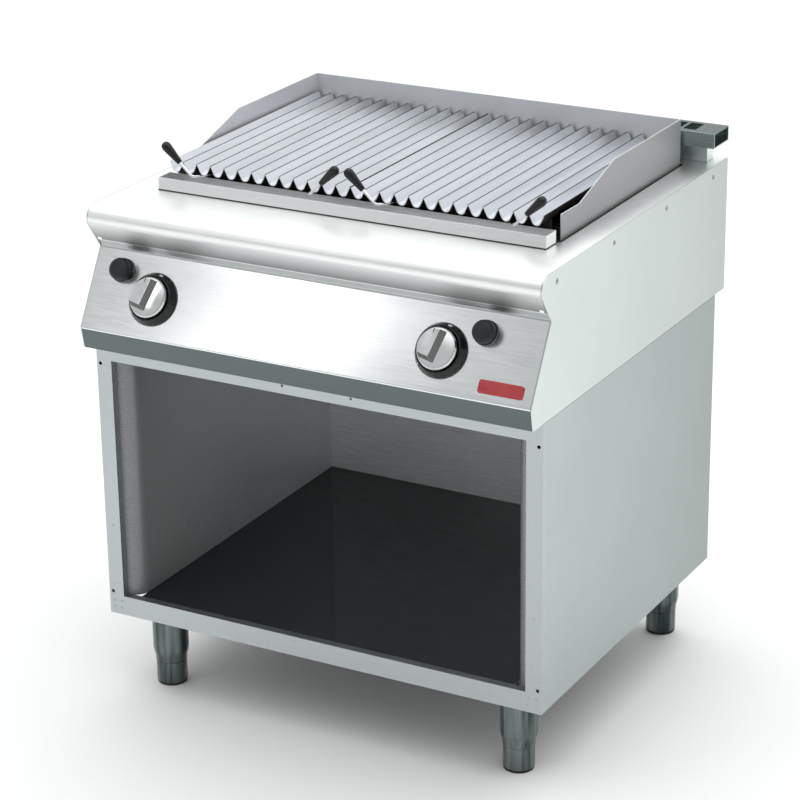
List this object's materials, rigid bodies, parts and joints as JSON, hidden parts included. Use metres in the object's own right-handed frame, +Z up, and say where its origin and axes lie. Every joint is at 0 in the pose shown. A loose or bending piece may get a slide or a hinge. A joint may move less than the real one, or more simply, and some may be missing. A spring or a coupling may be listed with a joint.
{
  "type": "charbroiler grill",
  "caption": "Gas charbroiler grill on an open stainless cabinet: paired V-bar grates, splash guard, grease trough, tap knobs and spark buttons.",
  "frame": {"origin": "on the floor, under the middle of the appliance's bounding box", "axes": "+Z up, -Y towards the operator (the control panel), +X to the operator's right when facing the appliance"},
  "size_m": [0.8, 0.7358, 0.9268],
  "materials": {
    "stainless": "fine brushed stainless steel",
    "satin_steel": "satin stainless steel panels",
    "dark_liner": "smooth glossy steel lining",
    "burnt_steel": "black heat-stained sheet steel",
    "black_plastic": "black heat-resistant plastic",
    "chrome": "polished chrome",
    "brass": "plain turned brass and copper pipe",
    "ceramic": "glazed white ceramic",
    "red_badge": "satin red enamel",
    "guard_steel": "matt stainless steel",
    "bar_steel": "bead-blasted stainless steel"
  },
  "bodies": {
    "cabinet": {"front_frame": "stainless", "cabinet_side_left": "satin_steel", "cabinet_side_right": "satin_steel", "back_panel": "satin_steel", "cabinet_floor": "dark_liner", "cabinet_liner": "dark_liner", "cabinet_ceiling": "satin_steel", "upper_side_left": "satin_steel", "upper_side_right": "satin_steel", "worktop": "stainless", "control_panel": "stainless", "firebox_shell": "burnt_steel", "firebox_front": "burnt_steel", "firebox_rear": "burnt_steel", "rack_support": "burnt_steel", "heat_rack_left": "burnt_steel", "heat_rack_right": "burnt_steel", "burner_left": "stainless", "burner_right": "stainless", "flue_duct": "burnt_steel", "flue_riser": "stainless", "flue_cap": "stainless", "flue_grille": "stainless", "gas_manifold": "brass", "gas_tap_left": "brass", "gas_tap_right": "brass", "spark_electrode_left": "ceramic", "spark_electrode_right": "ceramic", "knob_bezel_left": "black_plastic", "knob_bezel_right": "black_plastic", "igniter_housing_left": "stainless", "igniter_housing_right": "stainless", "badge_plate": "red_badge", "leg_sleeve_front_left": "stainless", "leg_sleeve_front_right": "stainless", "leg_sleeve_rear_left": "stainless", "leg_sleeve_rear_right": "stainless"},
    "spindle_left": {"valve_spindle_left": "stainless"},
    "spindle_right": {"valve_spindle_right": "stainless"},
    "knob_left": {"knob_left": "chrome"},
    "knob_right": {"knob_right": "chrome"},
    "igniter_left": {"igniter_button_left": "black_plastic"},
    "igniter_right": {"igniter_button_right": "black_plastic"},
    "grate_left": {"grate_left": "bar_steel", "handle_left_outer": "stainless", "handle_left_inner": "stainless", "grip_left_outer": "black_plastic", "grip_left_inner": "black_plastic"},
    "grate_right": {"grate_right": "bar_steel", "handle_right_outer": "stainless", "handle_right_inner": "stainless", "grip_right_outer": "black_plastic", "grip_right_inner": "black_plastic"},
    "splash_guard": {"splash_guard": "guard_steel"},
    "grease_trough": {"grease_trough": "stainless"},
    "foot_front_left": {"foot_front_left": "stainless"},
    "foot_front_right": {"foot_front_right": "stainless"},
    "foot_rear_left": {"foot_rear_left": "stainless"},
    "foot_rear_right": {"foot_rear_right": "stainless"}
  },
  "joints": [
    {"name": "tap_left_turn", "type": "hinge", "parent": "cabinet", "child": "spindle_left", "pos_m": [-0.278, -0.33364, 0.7136], "axis": [0, -0.871, 0.4913], "range_deg": [0, 180]},
    {"name": "tap_left_push", "type": "slide", "parent": "spindle_left", "child": "knob_left", "axis": [0, 0.871, -0.4913], "range_m": [0, 0.0035], "stiffness_N_per_m": 3000, "springref_m": -0.003},
    {"name": "tap_right_turn", "type": "hinge", "parent": "cabinet", "child": "spindle_right", "pos_m": [0.235, -0.33364, 0.7136], "axis": [0, -0.871, 0.4913], "range_deg": [0, 180]},
    {"name": "tap_right_push", "type": "slide", "parent": "spindle_right", "child": "knob_right", "axis": [0, 0.871, -0.4913], "range_m": [0, 0.0035], "stiffness_N_per_m": 3000, "springref_m": -0.003},
    {"name": "igniter_left_push", "type": "slide", "parent": "cabinet", "child": "igniter_left", "axis": [0, 0.871, -0.4913], "range_m": [0, 0.004], "stiffness_N_per_m": 1500, "springref_m": -0.003},
    {"name": "igniter_right_push", "type": "slide", "parent": "cabinet", "child": "igniter_right", "axis": [0, 0.871, -0.4913], "range_m": [0, 0.004], "stiffness_N_per_m": 1500, "springref_m": -0.003},
    {"name": "grate_left_lift", "type": "slide", "parent": "cabinet", "child": "grate_left", "axis": [0, 0, 1], "range_m": [0, 0.12]},
    {"name": "grate_right_lift", "type": "slide", "parent": "cabinet", "child": "grate_right", "axis": [0, 0, 1], "range_m": [0, 0.12]},
    {"name": "splash_guard_lift", "type": "slide", "parent": "cabinet", "child": "splash_guard", "axis": [0, 0, 1], "range_m": [0, 0.15]},
    {"name": "grease_trough_pull", "type": "slide", "parent": "cabinet", "child": "grease_trough", "axis": [0, -1, 0], "range_m": [0, 0.1]},
    {"name": "foot_front_left_level", "type": "slide", "parent": "cabinet", "child": "foot_front_left", "axis": [0, 0, -1], "range_m": [0, 0.03]},
    {"name": "foot_front_right_level", "type": "slide", "parent": "cabinet", "child": "foot_front_right", "axis": [0, 0, -1], "range_m": [0, 0.03]},
    {"name": "foot_rear_left_level", "type": "slide", "parent": "cabinet", "child": "foot_rear_left", "axis": [0, 0, -1], "range_m": [0, 0.03]},
    {"name": "foot_rear_right_level", "type": "slide", "parent": "cabinet", "child": "foot_rear_right", "axis": [0, 0, -1], "range_m": [0, 0.03]}
  ]
}
